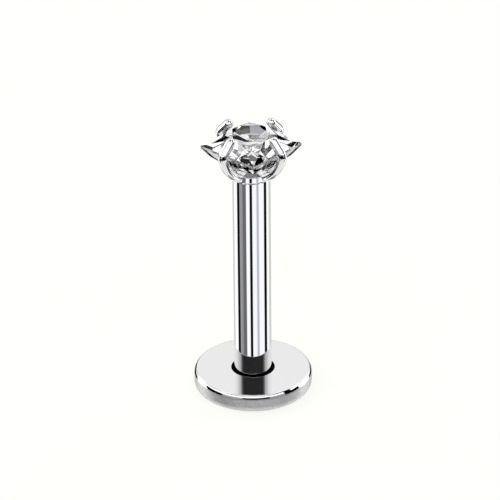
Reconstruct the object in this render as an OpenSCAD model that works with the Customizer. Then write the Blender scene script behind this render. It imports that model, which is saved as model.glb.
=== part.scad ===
// Labret stud standing on its disc: a flat base disc, a straight post, and a
// screwed-in head that is a four-claw setting with a square-cut clear stone.
// Millimetres, +Z up, origin at the centre of the disc's underside. The
// stone's corners point along +X, -X, +Y and -Y, and a claw holds the middle
// of each of its sides.

/* [Base disc] */
// Overall diameter of the disc, across its rounded rim
disc_d = 4.1; // [3.4:0.1:6]
// Thickness of the disc
disc_h = 0.7; // [0.55:0.05:1.2]
// Radius of the small round on the upper edge
disc_top_round = 0.08; // [0.04:0.01:0.15]
// Radius of the large round on the lower edge
disc_low_round = 0.25; // [0.1:0.05:0.3]
// Width of the narrow groove around the foot of the post
foot_groove_w = 0.11; // [0.06:0.01:0.2]
// Depth of that groove
foot_groove_h = 0.14; // [0.08:0.01:0.2]
// Thickness of the disc left under the foot of the post
foot_floor = 0.25; // [0.2:0.01:0.3]

/* [Post] */
// Diameter of the post, 16 gauge
post_d = 1.3; // [1.2:0.05:1.7]
// Length of the post above the disc
post_len = 7.5; // [5:0.1:14]
// Width and height of the chamfer around the top end of the post
post_chamfer = 0.05; // [0.02:0.01:0.08]
// Depth of the hole in the top end
hole_depth = 2; // [1.8:0.1:3]

/* [Head pin] */
// Diameter of the plain pin under the head
pin_d = 0.9; // [0.7:0.05:0.95]
// Length of the pin below the head
pin_len = 1.6; // [1:0.1:1.7]

/* [Setting] */
// Thickness of the round plate that sits on the post
plate_h = 0.2; // [0.16:0.01:0.26]
// Diameter of the claw wire
claw_d = 0.33; // [0.24:0.01:0.35]
// Distance from the plate's rim to the middle of each claw's foot
claw_foot_out = 0.1; // [0.06:0.01:0.14]
// Outward lean of each claw just below its knee, from upright
claw_lean = 18; // [14:1:22]
// Radius of the knee
knee_r = 0.3; // [0.2:0.02:0.4]
// Radius of the upper bend, which lays the claw over the stone's edge
claw_bend_r = 0.2; // [0.18:0.01:0.25]
// Slope of the straight stretch of each claw that rises over the crown
claw_tip_slope = 46; // [42:1:50]
// Length of that stretch
claw_tip_len = 0.45; // [0.35:0.01:0.6]

/* [Stone] */
// Width of the square stone across its flat sides
stone_w = 2.4; // [2.2:0.05:2.8]
// Height of the stone's widest band above the top of the post
stone_seat = 1.07; // [1.02:0.01:1.2]
// Thickness of that band, the girdle
girdle_h = 0.08; // [0.05:0.01:0.12]
// Height of the crown above the girdle
crown_h = 0.4; // [0.34:0.01:0.45]
// Width of the flat table on top, across its sides
table_w = 1.44; // [1.3:0.02:1.56]
// Depth of the pointed pavilion below the girdle
pavilion_h = 0.93; // [0.85:0.01:1]
// Slope of the steep facets just below the girdle, along the sides
step_slope = 57; // [52:1:58]
// Slope of the steep facets just below the corners
corner_slope = 46; // [42:1:50]
// Depth of those steep facets at each corner
corner_depth = 0.2; // [0.16:0.01:0.26]

/* [Clearances] */
// Gap all round where one metal piece sits in another
fit_gap = 0.015; // [0.01:0.005:0.02]
// Gap between the stone and the setting
stone_gap = 0.012; // [0.01:0.002:0.02]

/* [Hidden] */
$fn = 96;
SIDES = 4;
SIDE_TURN = 360 / SIDES;
SIDE_MIDDLE = SIDE_TURN / 2;
disc_r = disc_d / 2;
post_r = post_d / 2;
post_top = disc_h + post_len;
pin_r = pin_d / 2;
claw_r = claw_d / 2;

// Levels of the stone above the origin, and its half widths
girdle_low = post_top + stone_seat;
girdle_top = girdle_low + girdle_h;
table_z = girdle_top + crown_h;
point_z = girdle_low - pavilion_h;
half_w = stone_w / 2;
corner_r = half_w / cos(SIDE_MIDDLE);
table_half_w = table_w / 2;
table_corner_r = table_half_w / cos(SIDE_MIDDLE);
crown_slope = atan(crown_h / (half_w - table_half_w));
edge_slope = atan(crown_h / (corner_r - table_corner_r));
// How much flatter each crown facet at a corner is than the edge that it cuts
CORNER_EASE = 10;
// Crown facets on both sides of a corner: their turn from the corner, and how
// much flatter they are than that edge
STAR_TURN = 30;
STAR_EASE = 2;
// Long pavilion facets, all through a point straight below a corner: the turn
// of each pair from the middle of its side, and how much steeper the pair is
// than facets that end in the stone's point
LONG_FACETS = [[24, 0], [16, 4], [8, 9]];
// A block larger than the whole stone and setting, to cut with
cutter = 3 * stone_w;

// Radius of the slight swelling where two stretches of a claw are joined
joint_r = 1.02 * claw_r;

// Path of a claw in its upright plane, as distance from the axis and height:
// the upper bend lies where the upright line meets the line of the tip, which
// passes the upper edge of the girdle
claw_offset = joint_r + stone_gap;
claw_out = claw_offset + knee_r * (1 - cos(claw_lean));
claw_reach = half_w + claw_out;
line_meet_z = girdle_top + claw_offset / cos(claw_tip_slope)
    - claw_out * tan(claw_tip_slope);
bend_turn = 90 - claw_tip_slope;
bend_x = claw_reach - claw_bend_r;
bend_z = line_meet_z - claw_bend_r * tan(bend_turn / 2);
knee_x = claw_reach - knee_r;
lean_x = knee_x + knee_r * cos(claw_lean);
lean_z = bend_z - knee_r * sin(claw_lean);
// The lower curve is the arc that leaves the knee along its lean and passes
// through the middle of the foot, level with the top of the plate
plate_top = post_top + plate_h;
foot_x = post_r + claw_foot_out;
foot_dx = lean_x - foot_x;
foot_dz = lean_z - plate_top;
curve_r = (foot_dx ^ 2 + foot_dz ^ 2)
    / (2 * (foot_dx * cos(claw_lean) - foot_dz * sin(claw_lean)));
curve_x = lean_x - curve_r * cos(claw_lean);
curve_z = lean_z + curve_r * sin(claw_lean);
foot_angle = atan2(curve_z - plate_top, foot_x - curve_x);
// The wire runs on by one diameter and more, and is then cut off flat
foot_end_angle = foot_angle + 1.5 * claw_d / curve_r * 180 / PI;

// Flat disc with a rounded rim and a blind seat for the foot of the post
module base_disc() {
    color("gainsboro")
    difference() {
        rotate_extrude()
        disc_outline();
        translate([0, 0, foot_floor])
        cylinder(r = post_r + fit_gap, h = disc_h);
        translate([0, 0, disc_h - foot_groove_h])
        cylinder(r = post_r + foot_groove_w, h = disc_h);
    }
}

// Half outline of the disc: two rounds joined by straight lines
module disc_outline() {
    low_x = disc_r - disc_low_round;
    top_x = disc_r - disc_top_round;
    top_z = disc_h - disc_top_round;
    square([low_x, disc_h]);
    translate([0, disc_low_round])
    square([disc_r, top_z - disc_low_round]);
    translate([0, disc_low_round])
    square([top_x, disc_h - disc_low_round]);
    translate([low_x, disc_low_round])
    circle(r = disc_low_round);
    translate([top_x, top_z])
    circle(r = disc_top_round);
}

// Straight post, seated in the disc, with a hole for the pin of the head
module post() {
    whole_len = post_top - foot_floor;
    rim_r = post_r - post_chamfer;
    color("silver")
    difference() {
        translate([0, 0, foot_floor])
        intersection() {
            cylinder(r = post_r, h = whole_len);
            // A long 45 degree cone trims the chamfer
            cylinder(r1 = rim_r + whole_len, r2 = rim_r, h = whole_len);
        }
        translate([0, 0, post_top - hole_depth])
        cylinder(r = pin_r + fit_gap, h = hole_depth + post_chamfer);
    }
}

// One soldered piece: plate, pin and four claws, cut clear of the stone all
// round, which leaves a small hollow in the plate for the stone's point
module setting() {
    color("whitesmoke")
    difference() {
        union() {
            translate([0, 0, post_top - pin_len])
            cylinder(r = pin_r, h = pin_len + plate_h / 2);
            translate([0, 0, post_top])
            cylinder(r = post_r, h = plate_h);
            claws();
        }
        stone_form(stone_gap);
    }
}

// The four claws, cut off flat where they meet the top of the post
module claws() {
    difference() {
        for (side = [1 : SIDES])
        rotate([0, 0, side * SIDE_TURN + SIDE_MIDDLE])
        claw();
        translate([-cutter / 2, -cutter / 2, post_top - cutter])
        cube(cutter);
    }
}

// One claw of round wire: a curve from the foot to the knee, the knee, a bend
// over the stone's edge and a straight round-ended tip over the crown
module claw() {
    claw_arc(curve_x, curve_z, curve_r, -foot_end_angle, -claw_lean);
    translate([lean_x, 0, lean_z])
    sphere(r = joint_r);
    claw_arc(knee_x, bend_z, knee_r, -claw_lean, 0);
    translate([claw_reach, 0, bend_z])
    sphere(r = joint_r);
    claw_arc(bend_x, bend_z, claw_bend_r, 0, bend_turn);
    translate([
        bend_x + claw_bend_r * cos(bend_turn),
        0,
        bend_z + claw_bend_r * sin(bend_turn)
    ])
    rotate([0, -bend_turn, 0]) {
        sphere(r = joint_r);
        cylinder(r = claw_r, h = claw_tip_len);
        translate([0, 0, claw_tip_len])
        sphere(r = claw_r);
    }
}

// Bent wire in the upright plane, around a centre at x and z, between two
// angles measured from the horizontal
module claw_arc(x, z, bend_radius, from_angle, to_angle) {
    translate([x, 0, z])
    rotate([90, 0, 0])
    rotate([0, 0, from_angle])
    rotate_extrude(angle = to_angle - from_angle)
    translate([bend_radius, 0])
    circle(r = claw_r);
}

// Square clear stone: girdle, crown with a flat table, and pointed pavilion
module stone() {
    color("azure")
    stone_form(0);
}

// The stone with every face moved outward by a distance
module stone_form(grow) {
    low_z = point_z - 2 * grow;
    difference() {
        translate([0, 0, low_z])
        cylinder(
            r = corner_r + grow / cos(SIDE_MIDDLE),
            h = table_z + grow - low_z,
            $fn = SIDES
        );
        for (side = [1 : SIDES])
        rotate([0, 0, side * SIDE_TURN]) {
            crown_facet(SIDE_MIDDLE, half_w, crown_slope, grow);
            crown_facet(0, corner_r, edge_slope - CORNER_EASE, grow);
            for (way = [-1, 1])
            crown_facet(way * STAR_TURN, corner_r * cos(STAR_TURN), edge_slope - STAR_EASE, grow);
            pavilion_facet(SIDE_MIDDLE, half_w, girdle_low, step_slope, grow);
            pavilion_facet(0, corner_r, girdle_low, corner_slope, grow);
            for (facet = LONG_FACETS)
            for (way = [-1, 1])
            long_facet(way, facet[0], facet[1], grow);
        }
    }
}

// Facet that passes straight below a corner of the girdle; steeper = 0 makes
// one that ends in the stone's point
module long_facet(way, turn, steeper, grow) {
    reach = corner_r * cos(SIDE_MIDDLE - turn);
    start_z = girdle_low - corner_depth;
    slope = atan((start_z - point_z) / reach) + steeper;
    pavilion_facet(way * (SIDE_MIDDLE - turn), reach, start_z, slope, grow);
}

// Cut that slopes up and inward from the top of the girdle
module crown_facet(azimuth, reach, slope, grow) {
    rotate([0, 0, azimuth])
    translate([reach, 0, girdle_top])
    rotate([0, slope, 0])
    translate([-cutter / 2, -cutter / 2, grow])
    cube(cutter);
}

// Cut that slopes down and inward from a distance from the axis and a level
module pavilion_facet(azimuth, reach, level, slope, grow) {
    rotate([0, 0, azimuth])
    translate([reach, 0, level])
    rotate([0, -slope, 0])
    translate([-cutter / 2, -cutter / 2, -cutter - grow])
    cube(cutter);
}

base_disc();
post();
setting();
stone();
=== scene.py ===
"""Labret stud standing on its disc: steel disc, post and claw setting, clear square stone."""

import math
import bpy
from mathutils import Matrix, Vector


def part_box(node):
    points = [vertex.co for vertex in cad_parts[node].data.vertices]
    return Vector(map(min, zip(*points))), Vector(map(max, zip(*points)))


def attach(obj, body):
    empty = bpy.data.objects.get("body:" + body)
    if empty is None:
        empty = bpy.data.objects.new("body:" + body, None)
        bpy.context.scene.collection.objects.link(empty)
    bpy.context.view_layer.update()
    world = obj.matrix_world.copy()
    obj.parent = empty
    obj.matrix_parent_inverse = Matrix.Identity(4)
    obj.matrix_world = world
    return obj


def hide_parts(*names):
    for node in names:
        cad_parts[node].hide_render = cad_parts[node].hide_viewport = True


bl_info = {
    "name": "Labret stud",
    "version": (1, 0, 0),
    "blender": (4, 5, 0),
    "location": "3D View > Sidebar > Labret stud",
    "description": "Steel disc and post with a claw setting and a clear square stone",
    "category": "Object",
}

import bmesh
import bpy
import numpy as np
from bpy.props import FloatProperty, FloatVectorProperty, IntProperty, PointerProperty
from bpy.types import NodeSocket, Operator, Panel, PropertyGroup
from mathutils import Matrix, Vector

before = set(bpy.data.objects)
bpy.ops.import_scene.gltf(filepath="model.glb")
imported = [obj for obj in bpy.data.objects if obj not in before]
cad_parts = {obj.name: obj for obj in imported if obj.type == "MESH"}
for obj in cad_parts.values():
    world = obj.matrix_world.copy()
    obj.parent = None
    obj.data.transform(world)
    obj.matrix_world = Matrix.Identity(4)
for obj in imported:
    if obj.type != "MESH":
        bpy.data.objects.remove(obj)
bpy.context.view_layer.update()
_, DISC_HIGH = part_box("base_disc")
POST_LOW, POST_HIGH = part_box("post")
SETTING_LOW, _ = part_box("setting")
STONE_LOW, STONE_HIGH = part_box("stone")

# Sizes of the solids
DISC_RADIUS = DISC_HIGH[0]
DISC_TOP = DISC_HIGH[2]
POST_RADIUS = POST_HIGH[0]
POST_FOOT = POST_LOW[2]
POST_TOP = POST_HIGH[2]
PIN_FOOT = SETTING_LOW[2]
STONE_CORNER = STONE_HIGH[0]
STONE_POINT = STONE_LOW[2]

MM = 0.001

# The stone is square, with a claw at the middle of each side
SIDES = 4
SIDE_TURN = 2 * math.pi / SIDES
SIDE_MIDDLE = SIDE_TURN / 2

# Fineness of the meshes
TURNED_SIDES = 192
PLATE_SIDES = 128
ROUND_STEPS = 10
CLAW_STEPS = 40
KNEE_STEPS = 12
BEND_STEPS = 20
TIP_STEPS = 14
CAP_STEPS = 14
SHARP_ANGLE = math.radians(40.0)
CUT_TOLERANCE = 1e-9

# Radius of the small rounds on the other edges, and how far beyond a round the outline has
# the point that keeps the next side flat
DISC_EDGE = 0.003 * MM
POST_EDGE = 0.008 * MM
PLATE_EDGE = 0.02 * MM
SUPPORT = 0.006 * MM

# Width of the disc's bevel against its height
BEVEL_WIDTH = 0.7
# How far below the disc's top the painted shade in the groove starts
GROOVE_DROP = 0.0005 * MM
# How much smaller the pin's radius is than the post's
PIN_INSET = 0.2 * MM
# Distance of a claw's middle line from the gap to the stone, against the wire's radius
WIRE_ROOM = 1.02
# Length of wire drawn below the plate's top before the cut, against the wire's diameter
FOOT_RUN = 1.5

# Finish of the steel: colours, grain and wear, and the painted shade in the groove
SMEAR_SHADE = 0.97
SMEAR_SCALE = 900.0
SCRATCH_SCALE = 3500.0
SCRATCH_STRETCH = (1.0, 14.0, 1.0)
SCRATCH_TURN = (0.5, 0.3, 0.9)
SCRATCH_HEIGHT = 0.4
BUMP_STRENGTH = 0.5
RIM_FADE = 0.02 * MM
RIM_SPREAD = 0.08
GRAIN_SCALE = 16000.0
GRAIN_CONTRAST = 2.0
GRAIN_OFFSET = -0.4
# Painted shade: near-black colour and dull roughness laid into the groove round the post's foot
GROOVE_PAINTED_SHADE = (0.004, 0.004, 0.004)
GROOVE_ROUGHNESS = 0.6

# Finish of the stone: the ground girdle fades between these shares of the girdle's height
GIRDLE_END = 0.5
GIRDLE_FADE = 0.45
CLOUD_SCALE = 700.0
WHITE_TINT = (1.0, 1.0, 1.0)

# Brightness of the floor in the studio's light, against its colour
FLOOR_SHADE = 0.3


# Settings


def length(name, description, default_mm):
    """A length property, shown in the scene's units."""
    return FloatProperty(
        name=name,
        description=description,
        default=default_mm * MM,
        min=0.0,
        precision=6,
        subtype="DISTANCE",
        unit="LENGTH",
    )


def point(name, description, default_mm):
    """A place property, shown in the scene's units."""
    return FloatVectorProperty(
        name=name,
        description=description,
        default=[part * MM for part in default_mm],
        size=3,
        subtype="TRANSLATION",
        unit="LENGTH",
    )


def angle(name, description, default_degrees):
    """An angle property."""
    return FloatProperty(
        name=name,
        description=description,
        default=math.radians(default_degrees),
        subtype="ANGLE",
        unit="ROTATION",
    )


def factor(name, description, default):
    """A share between 0 and 1."""
    return FloatProperty(
        name=name, description=description, default=default, min=0.0, max=1.0, subtype="FACTOR"
    )


def number(name, description, default, least):
    """A plain number property with a least value."""
    return FloatProperty(name=name, description=description, default=default, min=least)


def colour(name, description, default):
    """A colour property."""
    return FloatVectorProperty(
        name=name,
        description=description,
        default=default,
        size=3,
        min=0.0,
        max=1.0,
        subtype="COLOR",
    )


class LabretDiscSettings(PropertyGroup):
    crest_round: length("Crest", "Radius of the small round at the rim of the flat top", 0.04)
    bevel: length("Bevel", "Height of the bevel under the flat top", 0.1)
    top_round: length("Upper edge", "Radius of the round under the bevel", 0.3)
    polished: length("Polished edge", "Height of the polished edge above the satin rim", 0.12)
    low_round: length("Lower edge", "Radius of the round on the lower edge", 0.25)
    groove_width: length("Groove width", "Width of the groove around the post", 0.11)
    groove_depth: length("Groove depth", "Depth of the groove around the post", 0.14)
    fit_gap: length("Fit gap", "Gap around the foot of the post", 0.015)
    steel: colour("Steel", "Colour of the polished steel", (0.90, 0.90, 0.905))
    top_roughness: factor("Top roughness", "Roughness of the polished top", 0.035)
    rim_roughness: factor("Rim roughness", "Roughness of the satin rim", 0.47)
    # Painted shade: the satin rim's colour is darkened to this share, broken up by a grain
    rim_painted_shade: factor("Rim shade", "Brightness of the satin rim against the polished top", 0.74)


class LabretPostSettings(PropertyGroup):
    chamfer: length("Chamfer", "Chamfer around the top end", 0.05)
    hole_radius: length("Hole radius", "Radius of the hole in the top end", 0.465)
    hole_depth: length("Hole depth", "Depth of the hole in the top end", 2.0)
    steel: colour("Steel", "Colour of the polished steel", (0.91, 0.91, 0.925))
    roughness: factor("Roughness", "Roughness of the polished steel", 0.03)


class LabretClawSettings(PropertyGroup):
    plate_height: length("Plate", "Thickness of the round plate", 0.2)
    wire: length("Wire", "Diameter of the claw wire", 0.33)
    foot_out: length("Foot", "Distance from the plate's rim to the middle of a foot", 0.1)
    lean: angle("Lean", "Outward lean below the knee", 18.0)
    knee_radius: length("Knee", "Radius of the knee", 0.3)
    bend_radius: length("Bend", "Radius of the bend over the stone's edge", 0.2)
    tip_length: length("Tip", "Length of the straight stretch over the crown", 0.45)
    stone_gap: length("Stone gap", "Gap between the stone and the claws", 0.012)
    tip_slope: angle("Tip slope", "Slope of the straight stretch over the crown", 46.0)
    steel: colour("Steel", "Colour of the polished setting", (0.92, 0.92, 0.925))
    roughness: factor("Roughness", "Roughness of the polished setting", 0.06)
    wire_sides: IntProperty(
        name="Wire sides", description="Sides around the claw wire", default=48, min=12
    )


class LabretStoneSettings(PropertyGroup):
    seat: length("Seat", "Height of the girdle above the post", 1.07)
    girdle: length("Girdle", "Thickness of the girdle", 0.08)
    pavilion: length("Pavilion", "Depth of the stone below its girdle", 0.93)
    corner_depth: length("Corner depth", "Depth of the steep facets at the corners", 0.2)
    tint: colour("Tint", "Colour of the clear stone", (0.985, 0.99, 1.0))
    refraction: number("Refraction", "Index of refraction of the stone", 2.15, 1.0)
    girdle_roughness: factor("Girdle roughness", "Roughness of the ground girdle", 0.25)


class LabretStageSettings(PropertyGroup):
    camera_lens: number("Lens", "Focal length of the camera, in millimetres", 231.7, 1.0)
    camera_place: point("Camera", "Place of the camera", (0.0, -96.949, 57.574))
    camera_aim: point("Aim", "Point that the camera looks at", (-0.069, 0.0, 5.315))
    turn: angle("Turn", "Turn of the camera and the studio round the post", 2.5)
    camera_roll: angle("Roll", "Turn of the camera around its view", -0.52)
    light: number("Light", "Strength of the studio's light", 1.1, 0.0)
    floor: colour("Floor", "Colour of the floor", (1.0, 1.0, 0.965))
    floor_size: length("Floor size", "Width of the floor", 600.0)
    floor_glow: number("Floor glow", "Strength of the floor's own light", 0.775, 0.0)


# Shapes


def arc(centre_x, centre_z, radius, start, end, steps):
    """Points at equal turns on a circle: x + r cos(t), z + r sin(t)."""
    turn = np.linspace(start, end, steps)
    return np.column_stack((centre_x + radius * np.cos(turn), centre_z + radius * np.sin(turn)))


def rounded_outline(corners):
    """Outline through corners (x, z, radius). Each corner is replaced by an arc of its radius,
    tangent to both sides, with one more point just before and after it to keep the sides flat."""
    points = [np.array([corners[0][:2]])]
    for before, here, after in zip(corners, corners[1:], corners[2:]):
        corner = np.array(here[:2])
        back = np.array(before[:2]) - corner
        ahead = np.array(after[:2]) - corner
        back /= np.linalg.norm(back)
        ahead /= np.linalg.norm(ahead)
        half = math.acos(float(np.clip(back @ ahead, -1, 1))) / 2
        set_back = here[2] / math.tan(half)
        middle = back + ahead
        middle /= np.linalg.norm(middle)
        centre = corner + middle * here[2] / math.sin(half)
        share = np.linspace(-1, 1, ROUND_STEPS)[:, None] * (math.pi / 2 - half)
        across = np.array((-middle[1], middle[0]))
        if across @ ahead < 0:
            across = -across
        bend = centre + here[2] * (-middle * np.cos(share) + across * np.sin(share))
        points.append(corner[None] + back[None] * (set_back + SUPPORT))
        points.append(bend)
        points.append(corner[None] + ahead[None] * (set_back + SUPPORT))
    points.append(np.array([corners[-1][:2]]))
    return np.concatenate(points)


def closed_grid_faces(rings, sides):
    """Quads between the rings of a grid of points, and a fan of triangles at each end."""
    low = np.arange(rings - 1)[:, None] * sides
    here = np.arange(sides)
    there = (here + 1) % sides
    quads = np.stack(
        (low + here, low + there, low + sides + there, low + sides + here), axis=-1
    ).reshape(-1, 4)
    first = np.full(sides, rings * sides)
    last = first + 1
    top = (rings - 1) * sides
    first_fan = np.stack((first, there, here), axis=-1)
    last_fan = np.stack((last, top + here, top + there), axis=-1)
    return quads.tolist() + first_fan.tolist() + last_fan.tolist()


def turned(outline, sides):
    """Surface of revolution: the point (r, z) of the outline at turn t is (r cos t, r sin t, z).
    The first and last points lie on the axis and close the surface."""
    turn = np.linspace(0, 2 * math.pi, sides, endpoint=False)
    rings = outline[1:-1]
    radius = rings[:, 0, None]
    x = radius * np.cos(turn)
    y = radius * np.sin(turn)
    z = np.repeat(rings[:, 1, None], sides, axis=1)
    grid = np.stack((x, y, z), axis=-1).reshape(-1, 3)
    ends = np.array(((0, 0, outline[0, 1]), (0, 0, outline[-1, 1])))
    return np.concatenate((grid, ends)), closed_grid_faces(len(rings), sides)


def wire(path, radius, azimuth, sides):
    """Round wire along a path in an upright plane: around each path point a circle of its
    radius, square to the path. The first and last points close the ends."""
    along = np.gradient(path[1:-1], axis=0)
    along /= np.linalg.norm(along, axis=1)[:, None]
    across = np.column_stack((along[:, 1], -along[:, 0]))
    turn = np.linspace(0, 2 * math.pi, sides, endpoint=False)
    middle = path[1:-1, None]
    reach = radius[1:-1, None, None]
    in_plane = middle + reach * across[:, None] * np.cos(turn)[None, :, None]
    out_of_plane = -reach[..., 0] * np.sin(turn)[None]
    grid = np.stack((in_plane[..., 0], out_of_plane, in_plane[..., 1]), axis=-1).reshape(-1, 3)
    ends = np.array(((path[0, 0], 0, path[0, 1]), (path[-1, 0], 0, path[-1, 1])))
    points = np.concatenate((grid, ends))
    cos, sin = math.cos(azimuth), math.sin(azimuth)
    turned_points = points @ np.array(((cos, sin, 0), (-sin, cos, 0), (0, 0, 1)))
    return turned_points, closed_grid_faces(len(path) - 2, sides)


def claw_path(settings, girdle_top, half_width):
    """Middle line of a claw in its upright plane: an arc from the foot to the knee, the knee,
    the bend over the stone's edge and a straight tip along the crown."""
    lean, slope = settings.lean, settings.tip_slope
    offset = WIRE_ROOM * (settings.wire / 2) + settings.stone_gap
    out = offset + settings.knee_radius * (1 - math.cos(lean))
    reach = half_width + out
    meet = girdle_top + offset / math.cos(slope) - out * math.tan(slope)
    turn = math.pi / 2 - slope
    bend_x = reach - settings.bend_radius
    bend_z = meet - settings.bend_radius * math.tan(turn / 2)
    knee_x = reach - settings.knee_radius
    lean_x = knee_x + settings.knee_radius * math.cos(lean)
    lean_z = bend_z - settings.knee_radius * math.sin(lean)
    foot_x = POST_RADIUS + settings.foot_out
    foot_z = POST_TOP + settings.plate_height
    run_x, run_z = lean_x - foot_x, lean_z - foot_z
    curve = (run_x**2 + run_z**2) / (2 * (run_x * math.cos(lean) - run_z * math.sin(lean)))
    curve_x = lean_x - curve * math.cos(lean)
    curve_z = lean_z + curve * math.sin(lean)
    foot_angle = math.atan2(curve_z - foot_z, foot_x - curve_x)
    foot_end = foot_angle + FOOT_RUN * settings.wire / curve
    lower = arc(curve_x, curve_z, curve, -foot_end, -lean, CLAW_STEPS)
    knee = arc(knee_x, bend_z, settings.knee_radius, -lean, 0.0, KNEE_STEPS)
    bend = arc(bend_x, bend_z, settings.bend_radius, 0.0, turn, BEND_STEPS)
    direction = np.array((-math.cos(slope), math.sin(slope)))
    straight = bend[-1] + np.linspace(0, settings.tip_length, TIP_STEPS)[:, None] * direction
    return np.concatenate((lower, knee[1:], bend[1:], straight[1:])), direction


def cut_below(shell, level):
    """A closed shell without its part below a level, closed again by a flat face."""
    form = bmesh.new()
    points = [form.verts.new(point) for point in shell[0]]
    for face in shell[1]:
        form.faces.new([points[index] for index in face])
    bmesh.ops.bisect_plane(
        form,
        geom=form.verts[:] + form.edges[:] + form.faces[:],
        dist=CUT_TOLERANCE,
        plane_co=(0, 0, level),
        plane_no=(0, 0, 1),
        clear_inner=True,
    )
    rim = [edge for edge in form.edges if edge.is_boundary]
    bmesh.ops.holes_fill(form, edges=rim)
    bmesh.ops.recalc_face_normals(form, faces=form.faces[:])
    form.verts.index_update()
    kept = np.array([vertex.co[:] for vertex in form.verts])
    faces = [[vertex.index for vertex in face.verts] for face in form.faces]
    form.free()
    return kept, faces


def make_piece(name, shells, material, node):
    """One object of closed shells, given as (points, faces), that stands for a CAD node."""
    points = np.concatenate([shell[0] for shell in shells])
    faces = []
    start = 0
    for shell_points, shell_faces in shells:
        faces += [[start + index for index in face] for face in shell_faces]
        start += len(shell_points)
    mesh = bpy.data.meshes.new(name)
    mesh.from_pydata(points.tolist(), [], faces)
    mesh.polygons.foreach_set("use_smooth", np.ones(len(mesh.polygons), dtype=bool))
    mesh.set_sharp_from_angle(angle=SHARP_ANGLE)
    mesh.materials.append(material)
    mesh.update()
    piece = bpy.data.objects.new(name, mesh)
    bpy.context.scene.collection.objects.link(piece)
    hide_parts(node)
    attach(piece, "root")
    return piece


# Materials


def feed(tree, node, values):
    """Fill a node's inputs. Each value is a number, a colour, a vector or an output socket."""
    for key, value in values.items():
        if isinstance(value, NodeSocket):
            tree.links.new(value, node.inputs[key])
        else:
            node.inputs[key].default_value = value


def add_node(tree, kind, values, **attributes):
    """A new node with its attributes set and its inputs filled."""
    node = tree.nodes.new(kind)
    for attribute, value in attributes.items():
        setattr(node, attribute, value)
    feed(tree, node, values)
    return node


def maths(tree, operation, *values):
    """The result of a Math node."""
    node = add_node(tree, "ShaderNodeMath", dict(enumerate(values)), operation=operation)
    return node.outputs[0]


def mix(tree, kind, share, first, second):
    """The first value where the share is 0 and the second where it is 1."""
    values = {"Factor": share, "A": first, "B": second}
    return add_node(tree, "ShaderNodeMix", values, data_type=kind).outputs["Result"]


def noise(tree, vector, scale, detail):
    """A cloudy value between about 0.3 and 0.7."""
    values = {"Vector": vector, "Scale": scale, "Detail": detail}
    return add_node(tree, "ShaderNodeTexNoise", values).outputs["Fac"]


def split(tree, vector):
    """The three parts of a vector, by their letters."""
    return add_node(tree, "ShaderNodeSeparateXYZ", {0: vector}).outputs


def opaque(tone, shade=1.0):
    """A colour with full alpha, darkened by a shade."""
    return (*[part * shade for part in tone], 1.0)


def group_tree(name, inputs, outputs):
    """A new shader node group: its tree, its entry's sockets and its exit. It takes a vector
    and the named lengths, which are given with their defaults, and puts out plain values."""
    tree = bpy.data.node_groups.new(name, "ShaderNodeTree")
    tree.interface.new_socket("Vector", in_out="INPUT", socket_type="NodeSocketVector")
    for title, default in inputs.items():
        socket = tree.interface.new_socket(title, in_out="INPUT", socket_type="NodeSocketFloat")
        socket.default_value = default
    for title in outputs:
        tree.interface.new_socket(title, in_out="OUTPUT", socket_type="NodeSocketFloat")
    return tree, tree.nodes.new("NodeGroupInput").outputs, tree.nodes.new("NodeGroupOutput")


def handling_group(name):
    """Fine wear of polished steel: a cloudy smear mask and hairline scratches as a height."""
    tree, entry, leave = group_tree(name, {}, ("Smears", "Scratches"))
    stretched = add_node(
        tree,
        "ShaderNodeMapping",
        {"Vector": entry["Vector"], "Rotation": SCRATCH_TURN, "Scale": SCRATCH_STRETCH},
    )
    smears = noise(tree, entry["Vector"], SMEAR_SCALE, 3.0)
    scratches = noise(tree, stretched.outputs[0], SCRATCH_SCALE, 4.0)
    feed(tree, leave, {"Smears": smears, "Scratches": scratches})
    return tree


def from_axis(tree, parts):
    """The distance from the upright axis: the root of x squared plus y squared."""
    squares = [maths(tree, "MULTIPLY", parts[axis], parts[axis]) for axis in "XY"]
    return maths(tree, "SQRT", maths(tree, "ADD", *squares))


def turning_group(name):
    """Lathe marks: fine rings around the upright axis, as a height that follows the distance
    from the axis on flat faces and the height on upright ones."""
    tree, entry, leave = group_tree(name, {"Pitch": 0.02 * MM}, ("Height",))
    parts = split(tree, entry["Vector"])
    run = maths(tree, "ADD", from_axis(tree, parts), parts["Z"])
    steps = maths(tree, "DIVIDE", run, entry["Pitch"])
    marks = add_node(
        tree,
        "ShaderNodeTexNoise",
        {"W": steps, "Scale": 1.0, "Detail": 2.0},
        noise_dimensions="1D",
    )
    feed(tree, leave, {"Height": marks.outputs["Fac"]})
    return tree


def painted_groove_shade_group(name):
    """A mask of the groove's painted shade: 1 nearer the axis than a radius and lower than a
    height, else 0.
    """
    tree, entry, leave = group_tree(name, {"Radius": MM, "Height": MM}, ("Mask",))
    parts = split(tree, entry["Vector"])
    near = maths(tree, "LESS_THAN", from_axis(tree, parts), entry["Radius"])
    deep = maths(tree, "LESS_THAN", parts["Z"], entry["Height"])
    feed(tree, leave, {"Mask": maths(tree, "MULTIPLY", near, deep)})
    return tree


def add_group(tree, name, build, values):
    """The outputs of a shared node group, which is built on first use."""
    group = bpy.data.node_groups.get(name) or build(name)
    return add_node(tree, "ShaderNodeGroup", values, node_tree=group).outputs


def new_material(name):
    """A new node material, its node tree and its Principled shader."""
    material = bpy.data.materials.new(name)
    material.use_nodes = True
    tree = material.node_tree
    return material, tree, tree.nodes["Principled BSDF"]


def object_place(tree):
    """The place on an object, in its own coordinates."""
    return tree.nodes.new("ShaderNodeTexCoord").outputs["Object"]


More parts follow.
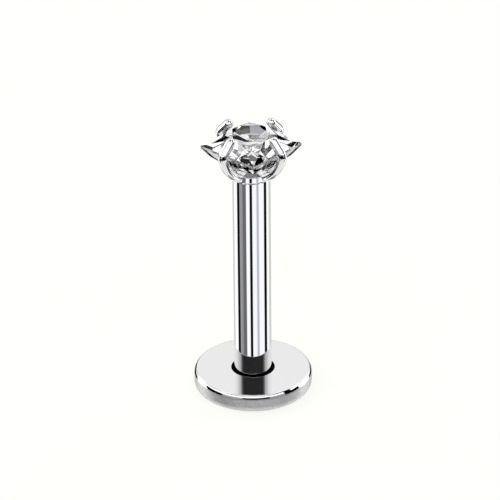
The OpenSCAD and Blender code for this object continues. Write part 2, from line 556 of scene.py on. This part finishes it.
def steel_material(name, steel, roughness, pitch, bump_depth, rim=None, groove=None):
    """Polished steel with lathe marks and light handling wear. With rim = (height, roughness,
    shade), the surface below that height is satin, and its colour is darkened by painted shade
    broken up by a fine grain. With groove = (radius, height), what lies nearer the axis and
    lower than that is dull and painted near black as shade."""
    material, tree, shader = new_material(name)
    place = object_place(tree)
    wear = add_group(tree, "handled_polish", handling_group, {"Vector": place})
    marks = add_group(tree, "lathe_marks", turning_group, {"Vector": place, "Pitch": pitch})
    tone = mix(tree, "RGBA", wear["Smears"], opaque(steel, SMEAR_SHADE), opaque(steel))
    rough = maths(tree, "MULTIPLY_ADD", wear["Smears"], roughness, roughness * 0.5)
    if rim:
        rim_top, rim_roughness, rim_painted_shade = rim
        satin = add_node(
            tree,
            "ShaderNodeMapRange",
            {
                "Value": split(tree, place)["Z"],
                "From Min": rim_top,
                "From Max": rim_top - RIM_FADE,
            },
        ).outputs["Result"]
        # Painted shade on the satin rim, broken up by a real fine grain
        speckle = noise(tree, place, GRAIN_SCALE, 2.0)
        grain = maths(tree, "MULTIPLY_ADD", speckle, GRAIN_CONTRAST, GRAIN_OFFSET)
        grain_and_painted_shade = maths(tree, "MULTIPLY", grain, satin)
        tone = mix(tree, "RGBA", grain_and_painted_shade, tone, opaque(steel, rim_painted_shade))
        least = rim_roughness - RIM_SPREAD / 2
        satin_rough = maths(tree, "MULTIPLY_ADD", wear["Scratches"], RIM_SPREAD, least)
        rough = mix(tree, "FLOAT", satin, rough, satin_rough)
    if groove:
        # Painted shade: near black and dull where the mask marks the groove
        limits = {"Vector": place, "Radius": groove[0], "Height": groove[1]}
        painted_shade = add_group(tree, "painted_groove_shade", painted_groove_shade_group, limits)["Mask"]
        tone = mix(tree, "RGBA", painted_shade, tone, opaque(GROOVE_PAINTED_SHADE))
        dull = maths(tree, "MULTIPLY", painted_shade, GROOVE_ROUGHNESS)
        rough = maths(tree, "MAXIMUM", rough, dull)
    scratches = maths(tree, "MULTIPLY", wear["Scratches"], SCRATCH_HEIGHT)
    height = maths(tree, "ADD", marks["Height"], scratches)
    bump = add_node(
        tree,
        "ShaderNodeBump",
        {"Height": height, "Strength": BUMP_STRENGTH, "Distance": bump_depth},
    )
    finish = {
        "Metallic": 1.0,
        "Base Color": tone,
        "Roughness": rough,
        "Normal": bump.outputs["Normal"],
    }
    feed(tree, shader, finish)
    return material


def stone_material(settings, girdle_middle):
    """Clear polished stone with a finely ground girdle."""
    material, tree, shader = new_material("clear_stone")
    place = object_place(tree)
    above_middle = maths(tree, "SUBTRACT", split(tree, place)["Z"], girdle_middle)
    ground = add_node(
        tree,
        "ShaderNodeMapRange",
        {
            "Value": maths(tree, "ABSOLUTE", above_middle),
            "From Min": settings.girdle * GIRDLE_END,
            "From Max": settings.girdle * GIRDLE_FADE,
            "To Max": settings.girdle_roughness,
        },
    )
    cloud = noise(tree, place, CLOUD_SCALE, 2.0)
    finish = {
        "IOR": settings.refraction,
        "Transmission Weight": 1.0,
        "Roughness": ground.outputs["Result"],
        "Base Color": mix(tree, "RGBA", cloud, opaque(settings.tint), opaque(WHITE_TINT)),
    }
    feed(tree, shader, finish)
    return material


# Studio

# Tones of the panels, as brightness and blueness
BLACK = (0.0, 1.0)
SOOT = (0.004, 1.0)
COAL = (0.1, 1.0)
SLATE = (0.14, 1.06)
DIM = (0.4, 1.0)
LILAC = (0.6, 1.12)
GREY = (0.62, 1.0)
PALE = (0.84, 1.0)
PAPER = (0.9, 1.0)
MILK = (0.95, 1.04)
WHITE = (1.0, 1.0)
LAMP = (1.2, 1.0)
BRIGHT_LAMP = (1.35, 1.0)

# Panels around the stud, as degrees from the front and tone
DEEP_GROUND = (
    (-180, PAPER),
    (-168, (0.42, 1.12)),
    (-150, (0.78, 1.0)),
    (150, COAL),
    (168, PAPER),
)
PALE_GROUND = (
    (-180, LAMP),
    (-160, BLACK),
    (-140, (1.15, 1.0)),
    (-80, BLACK),
    (-60, (0.76, 1.0)),
    (60, BLACK),
    (80, (1.15, 1.0)),
    (140, BLACK),
    (160, LAMP),
)
LOW_PANELS = (
    (-180, GREY),
    (-134, GREY),
    (-131, WHITE),
    (-100, WHITE),
    (-98, SOOT),
    (-80, SOOT),
    (-78, (0.34, 1.03)),
    (-58, (0.27, 1.03)),
    (-54, SLATE),
    (-36, SLATE),
    (-32, WHITE),
    (-13.5, WHITE),
    (-12, SOOT),
    (2.5, SOOT),
    (4, MILK),
    (28, MILK),
    (30, (0.5, 1.12)),
    (42, (0.5, 1.12)),
    (44, MILK),
    (77.5, MILK),
    (79.5, SOOT),
    (99.5, SOOT),
    (101.5, WHITE),
    (123, WHITE),
    (126, GREY),
    (180, GREY),
)
DARK_GROUND = (
    (-180, (0.6, 1.0)),
    (-165, BLACK),
    (-130, (1.5, 1.0)),
    (-95, BLACK),
    (95, (1.5, 1.0)),
    (130, BLACK),
    (165, (0.6, 1.0)),
)
LOW_WALL = (
    (-180, WHITE),
    (-165, BLACK),
    (-150, WHITE),
    (-98, BLACK),
    (-60, DIM),
    (-20, BLACK),
    (30, DIM),
    (60, BLACK),
    (92, WHITE),
)
WALL = (
    (-180, BLACK),
    (-135, BRIGHT_LAMP),
    (60, BLACK),
    (75, BRIGHT_LAMP),
    (150, BLACK),
)
DARK_ROOM = (
    (-180, PALE),
    (-120, PALE),
    (-84, (0.45, 1.0)),
    (-72, COAL),
    (-60, (0.02, 1.0)),
    (60, (0.02, 1.0)),
    (72, COAL),
    (84, (0.45, 1.0)),
    (120, PALE),
    (180, PALE),
)
HIGH_WALL = (
    (-180, BRIGHT_LAMP),
    (45, BLACK),
    (90, LILAC),
    (100, BLACK),
    (128, BRIGHT_LAMP),
)
EAVES = (
    (-180, BLACK),
    (-140, LILAC),
    (-120, (0.14, 1.0)),
    (-80, LILAC),
    (-60, BRIGHT_LAMP),
    (60, BLACK),
    (118, BRIGHT_LAMP),
    (160, BLACK),
)
CEILING = (
    (-180, BRIGHT_LAMP),
    (-60, BLACK),
    (60, BRIGHT_LAMP),
    (90, LILAC),
    (120, BRIGHT_LAMP),
)
ZENITH = ((-180, (0.2, 1.0)),)

# The rings of panels above the deepest one, from the ground up. Each replaces the one below
# it between its two heights, given as the upward part of the direction. In a CONSTANT ring
# each stop starts a panel with hard edges, and a LINEAR ring changes evenly between its stops
RINGS = (
    (-0.82, -0.80, PALE_GROUND, "CONSTANT"),
    (-0.56, -0.54, LOW_PANELS, "LINEAR"),
    (-0.43, -0.41, DARK_GROUND, "CONSTANT"),
    (-0.14, -0.10, LOW_WALL, "CONSTANT"),
    (0.20, 0.28, WALL, "CONSTANT"),
    (0.455, 0.475, DARK_ROOM, "LINEAR"),
    (0.535, 0.555, HIGH_WALL, "CONSTANT"),
    (0.67, 0.69, EAVES, "CONSTANT"),
    (0.81, 0.83, CEILING, "CONSTANT"),
    (0.92, 0.94, ZENITH, "CONSTANT"),
)


def ring_colour(tree, share, panels, change):
    """The colour of a ring of panels at a share of the whole turn, counted from the back."""
    node = add_node(tree, "ShaderNodeValToRGB", {"Fac": share})
    ramp = node.color_ramp
    ramp.interpolation = change
    while len(ramp.elements) > 1:
        ramp.elements.remove(ramp.elements[-1])
    for index, (degrees, (bright, blue)) in enumerate(panels):
        position = (degrees + 180) / 360
        stop = ramp.elements.new(position) if index else ramp.elements[0]
        stop.position = position
        stop.color = (bright, bright, bright * blue, 1.0)
    return node.outputs["Color"]


def studio_colour(tree, direction):
    """The colour of the studio in a direction, from the rings of panels."""
    parts = split(tree, direction)
    front = maths(tree, "MULTIPLY", parts["Y"], -1.0)
    azimuth = maths(tree, "ARCTAN2", parts["X"], front)
    share = maths(tree, "MULTIPLY_ADD", azimuth, 0.5 / math.pi, 0.5)
    whole = ring_colour(tree, share, DEEP_GROUND, "CONSTANT")
    for start, end, panels, change in RINGS:
        step = add_node(
            tree,
            "ShaderNodeMapRange",
            {"Value": parts["Z"], "From Min": start, "From Max": end},
            interpolation_type="SMOOTHSTEP",
        )
        ring = ring_colour(tree, share, panels, change)
        whole = mix(tree, "RGBA", step.outputs["Result"], whole, ring)
    return whole


# Operators


class LABRET_OT_base_disc(Operator):
    """Make the turned base disc"""

    bl_idname = "labret.base_disc"
    bl_label = "Base disc"

    def execute(self, context):
        settings = context.scene.labret_disc
        groove = POST_RADIUS + settings.groove_width
        groove_floor = DISC_TOP - settings.groove_depth
        seat = POST_RADIUS + settings.fit_gap
        outline = rounded_outline(
            (
                (0.0, 0.0, 0.0),
                (DISC_RADIUS, 0.0, settings.low_round),
                (DISC_RADIUS, DISC_TOP - settings.bevel, settings.top_round),
                (DISC_RADIUS - settings.bevel * BEVEL_WIDTH, DISC_TOP, settings.crest_round),
                (groove, DISC_TOP, DISC_EDGE),
                (groove, groove_floor, DISC_EDGE),
                (seat, groove_floor, DISC_EDGE / 2),
                (seat, POST_FOOT, DISC_EDGE / 2),
                (0.0, POST_FOOT, 0.0),
            )
        )
        material = steel_material(
            "disc_steel",
            settings.steel,
            settings.top_roughness,
            pitch=0.015 * MM,
            bump_depth=0.00004 * MM,
            # The rim's darkening is painted shade
            rim=(DISC_TOP - settings.polished, settings.rim_roughness, settings.rim_painted_shade),
            # Painted shade laid into the groove round the post
            groove=(groove + 2 * DISC_EDGE, DISC_TOP - GROOVE_DROP),
        )
        shell = turned(outline, TURNED_SIDES)
        make_piece("base_disc_turned", [shell], material, "base_disc")
        return {"FINISHED"}


class LABRET_OT_post(Operator):
    """Make the polished post with its chamfered, drilled top end"""

    bl_idname = "labret.post"
    bl_label = "Post"

    def execute(self, context):
        settings = context.scene.labret_post
        hole_floor = POST_TOP - settings.hole_depth
        outline = rounded_outline(
            (
                (0.0, POST_FOOT, 0.0),
                (POST_RADIUS, POST_FOOT, POST_EDGE),
                (POST_RADIUS, POST_TOP - settings.chamfer, POST_EDGE),
                (POST_RADIUS - settings.chamfer, POST_TOP, POST_EDGE),
                (settings.hole_radius, POST_TOP, POST_EDGE),
                (settings.hole_radius, hole_floor, POST_EDGE),
                (0.0, hole_floor, 0.0),
            )
        )
        material = steel_material(
            "post_steel",
            settings.steel,
            settings.roughness,
            pitch=0.02 * MM,
            bump_depth=0.00003 * MM,
            # Painted shade on the post's foot, inside the disc's groove
            groove=(POST_RADIUS + POST_EDGE, DISC_TOP - POST_EDGE),
        )
        make_piece("post_polished", [turned(outline, TURNED_SIDES)], material, "post")
        return {"FINISHED"}


class LABRET_OT_setting(Operator):
    """Make the soldered setting: plate, hidden pin and four claws"""

    bl_idname = "labret.setting"
    bl_label = "Setting"

    def execute(self, context):
        settings = context.scene.labret_claws
        stone = context.scene.labret_stone
        shells = self.claws(settings, stone)
        shells.append(turned(self.plate_outline(settings, stone), PLATE_SIDES))
        material = steel_material(
            "setting_steel",
            settings.steel,
            settings.roughness,
            pitch=0.05 * MM,
            bump_depth=0.0002 * MM,
        )
        make_piece("claw_setting", shells, material, "setting")
        return {"FINISHED"}

    def claws(self, settings, stone):
        """The four claws, each a bent wire with a round end, cut off flat at the post."""
        girdle_top = POST_TOP + stone.seat + stone.girdle
        half_width = STONE_CORNER * math.cos(SIDE_MIDDLE)
        path, direction = claw_path(settings, girdle_top, half_width)
        wire_radius = settings.wire / 2
        cap_turn = np.linspace(0, math.pi / 2, CAP_STEPS)[1:]
        cap = path[-1] + np.sin(cap_turn)[:, None] * wire_radius * direction
        whole = np.concatenate((path[:1], path, cap))
        radius = np.concatenate(
            (np.zeros(1), np.full(len(path), wire_radius), wire_radius * np.cos(cap_turn))
        )
        shells = []
        for side in range(SIDES):
            azimuth = side * SIDE_TURN + SIDE_MIDDLE
            claw = wire(whole, radius, azimuth, settings.wire_sides)
            shells.append(cut_below(claw, POST_TOP))
        return shells

    def plate_outline(self, settings, stone):
        """Half outline of the pin and the plate, with a hollow for the stone's point."""
        pin_radius = POST_RADIUS - PIN_INSET
        plate_top = POST_TOP + settings.plate_height
        hollow_floor = STONE_POINT - 2 * settings.stone_gap
        pavilion_side = stone.pavilion - stone.corner_depth
        hollow = (plate_top - hollow_floor) * STONE_CORNER / pavilion_side
        return rounded_outline(
            (
                (0.0, PIN_FOOT, 0.0),
                (pin_radius, PIN_FOOT, PLATE_EDGE),
                (pin_radius, POST_TOP, PLATE_EDGE / 4),
                (POST_RADIUS, POST_TOP, PLATE_EDGE / 2),
                (POST_RADIUS, plate_top, PLATE_EDGE),
                (hollow + settings.stone_gap, plate_top, PLATE_EDGE / 2),
                (0.0, hollow_floor, 0.0),
            )
        )


class LABRET_OT_stone(Operator):
    """Give the cut stone its clear material"""

    bl_idname = "labret.stone"
    bl_label = "Stone"

    def execute(self, context):
        settings = context.scene.labret_stone
        middle = POST_TOP + settings.seat + settings.girdle / 2
        material = stone_material(settings, middle)
        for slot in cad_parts["stone"].material_slots:
            slot.material = material
        return {"FINISHED"}


class LABRET_OT_stage(Operator):
    """Make the pale floor, the studio surround and the camera"""

    bl_idname = "labret.stage"
    bl_label = "Stage"

    def execute(self, context):
        settings = context.scene.labret_stage
        self.floor(context, settings)
        self.surround(context, settings)
        self.camera(context, settings)
        context.scene.view_settings.view_transform = "Standard"
        return {"FINISHED"}

    def floor(self, context, settings):
        """A wide flat floor, lit softly and glowing a little so that it stays pale. It is
        hidden from reflections and from rays through the stone."""
        half = settings.floor_size / 2
        corners = [(-half, -half, 0), (half, -half, 0), (half, half, 0), (-half, half, 0)]
        mesh = bpy.data.meshes.new("floor")
        mesh.from_pydata(corners, [], [(0, 1, 2, 3)])
        material, tree, shader = new_material("floor_paper")
        finish = {
            "Base Color": opaque(settings.floor, FLOOR_SHADE),
            "Roughness": 1.0,
            "Specular IOR Level": 0.0,
            "Emission Color": opaque(settings.floor),
            "Emission Strength": settings.floor_glow,
        }
        feed(tree, shader, finish)
        mesh.materials.append(material)
        floor = bpy.data.objects.new("floor", mesh)
        floor.visible_glossy = False
        floor.visible_transmission = False
        context.scene.collection.objects.link(floor)

    def surround(self, context, settings):
        """A studio all round the stud, made of rings of dark and pale panels."""
        world = bpy.data.worlds.new("studio")
        world.use_nodes = True
        context.scene.world = world
        tree = world.node_tree
        tree.nodes.clear()
        direction = tree.nodes.new("ShaderNodeTexCoord").outputs["Generated"]
        turn = add_node(
            tree,
            "ShaderNodeVectorRotate",
            {"Vector": direction, "Angle": settings.turn},
            rotation_type="Z_AXIS",
        )
        studio = studio_colour(tree, turn.outputs["Vector"])
        light = add_node(
            tree, "ShaderNodeBackground", {"Color": studio, "Strength": settings.light}
        )
        add_node(tree, "ShaderNodeOutputWorld", {"Surface": light.outputs[0]})

    def camera(self, context, settings):
        """A long lens from the front and above, turned slightly around its view."""
        data = bpy.data.cameras.new("camera")
        data.sensor_width = 36.0
        data.lens = settings.camera_lens
        data.clip_start = 0.005
        data.clip_end = 10.0
        camera = bpy.data.objects.new("camera", data)
        turn = Matrix.Rotation(-settings.turn, 3, "Z")
        place = turn @ Vector(settings.camera_place)
        view = (turn @ Vector(settings.camera_aim) - place).normalized()
        right = view.cross(Vector((0, 0, 1))).normalized()
        up = right.cross(view)
        cos, sin = math.cos(settings.camera_roll), math.sin(settings.camera_roll)
        turned_right = right * cos + up * sin
        turned_up = up * cos - right * sin
        rotation = Matrix((turned_right, turned_up, -view)).transposed()
        camera.matrix_world = Matrix.Translation(place) @ rotation.to_4x4()
        context.scene.collection.objects.link(camera)
        context.scene.camera = camera


# Each group of settings, by its name in the scene, with the operator that it is for
GROUPS = {
    "labret_stage": ("labret.stage", LabretStageSettings),
    "labret_disc": ("labret.base_disc", LabretDiscSettings),
    "labret_post": ("labret.post", LabretPostSettings),
    "labret_claws": ("labret.setting", LabretClawSettings),
    "labret_stone": ("labret.stone", LabretStoneSettings),
}


class LABRET_PT_sidebar(Panel):
    """Sizes and finishes of the stud"""

    bl_idname = "LABRET_PT_sidebar"
    bl_label = "Labret stud"
    bl_space_type = "VIEW_3D"
    bl_region_type = "UI"
    bl_category = "Labret stud"

    def draw(self, context):
        for name, (operator, group) in GROUPS.items():
            box = self.layout.box()
            box.operator(operator)
            for key in group.__annotations__:
                box.prop(getattr(context.scene, name), key)


CLASSES = (
    *[group for _, group in GROUPS.values()],
    LABRET_OT_base_disc,
    LABRET_OT_post,
    LABRET_OT_setting,
    LABRET_OT_stone,
    LABRET_OT_stage,
    LABRET_PT_sidebar,
)


def register():
    for cls in CLASSES:
        bpy.utils.register_class(cls)
    for name, (_, group) in GROUPS.items():
        setattr(bpy.types.Scene, name, PointerProperty(type=group))


def unregister():
    for name in GROUPS:
        delattr(bpy.types.Scene, name)
    for cls in reversed(CLASSES):
        bpy.utils.unregister_class(cls)


def main():
    """Register everything, and make the stage and each piece."""
    register()
    bpy.ops.labret.stage()
    bpy.ops.labret.base_disc()
    bpy.ops.labret.post()
    bpy.ops.labret.setting()
    bpy.ops.labret.stone()


if __name__ == "__main__":
    main()
